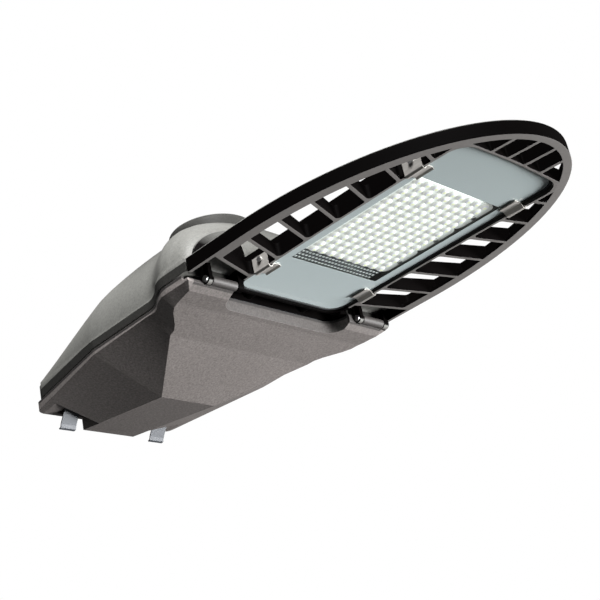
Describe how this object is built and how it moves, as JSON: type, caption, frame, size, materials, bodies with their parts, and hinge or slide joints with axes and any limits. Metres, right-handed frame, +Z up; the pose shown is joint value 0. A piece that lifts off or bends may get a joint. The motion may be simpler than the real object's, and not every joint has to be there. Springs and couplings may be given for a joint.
{
  "type": "led street light head",
  "caption": "Cast street light head: flat glass over LED modules, a hinged gear door with tail latches, and a clamp socket for a pole end.",
  "frame": {"origin": "middle of the open end of the pole socket, on the socket's axis", "axes": "+X along the socket's axis towards the nose, +Y across the head, +Z up"},
  "size_m": [0.6655, 0.296, 0.1788],
  "materials": {
    "cast_paint": "satin powder coat",
    "door_paint": "fine textured powder coat",
    "clear_glass": "clear, polished",
    "gasket_rubber": "dull",
    "spring_steel": "bright stainless",
    "fixing_steel": "plain",
    "board_white": "white solder mask",
    "chip_phosphor": "soft yellow",
    "lens_clear": "clear moulding",
    "connector_black": "black",
    "tray_zinc": "zinc plated",
    "driver_case": "drawn case",
    "surge_case": "dark case",
    "terminal_grey": "grey",
    "earth_brass": "plain"
  },
  "bodies": {
    "head": {"housing": "cast_paint", "blanking_plate": "cast_paint", "front_glass": "clear_glass", "glass_gasket": "gasket_rubber", "compartment_seal": "gasket_rubber", "blanking_gasket": "gasket_rubber", "glass_clip_tail_left": "spring_steel", "glass_clip_tail_right": "spring_steel", "glass_clip_nose_left": "spring_steel", "glass_clip_nose_right": "spring_steel", "hinge_pin_left": "fixing_steel", "hinge_pin_right": "fixing_steel", "clip_screws": "fixing_steel", "lens_screws": "fixing_steel", "tray_screws": "fixing_steel", "driver_screws": "fixing_steel", "surge_screws": "fixing_steel", "terminal_screws": "fixing_steel", "blanking_screws": "fixing_steel", "clamp_bolts": "fixing_steel", "led_board_1": "board_white", "led_board_2": "board_white", "led_board_3": "board_white", "led_chips_1": "chip_phosphor", "led_chips_2": "chip_phosphor", "led_chips_3": "chip_phosphor", "lens_plate_1": "lens_clear", "lens_plate_2": "lens_clear", "lens_plate_3": "lens_clear", "connector_strip": "connector_black", "cable_gland": "connector_black", "breather_vent": "connector_black", "gear_tray": "tray_zinc", "pole_strap_1": "tray_zinc", "pole_strap_2": "tray_zinc", "driver": "driver_case", "surge_protector": "surge_case", "terminal_block": "terminal_grey", "earth_screw": "earth_brass"},
    "door": {"door_cover": "door_paint", "latch_pin_left": "fixing_steel", "latch_pin_right": "fixing_steel"},
    "latch_left": {"latch_lever_left": "spring_steel"},
    "latch_right": {"latch_lever_right": "spring_steel"}
  },
  "joints": [
    {"name": "door_hinge", "type": "hinge", "parent": "head", "child": "door", "pos_m": [0.327, 0, -0.02], "axis": [0, -1, 0], "range_deg": [0, 95]},
    {"name": "latch_left_pivot", "type": "hinge", "parent": "door", "child": "latch_left", "pos_m": [0.021, -0.0655, -0.0242], "axis": [0, 1, 0], "range_deg": [0, 40]},
    {"name": "latch_right_pivot", "type": "hinge", "parent": "door", "child": "latch_right", "pos_m": [0.021, 0.0655, -0.0242], "axis": [0, 1, 0], "range_deg": [0, 40]}
  ]
}
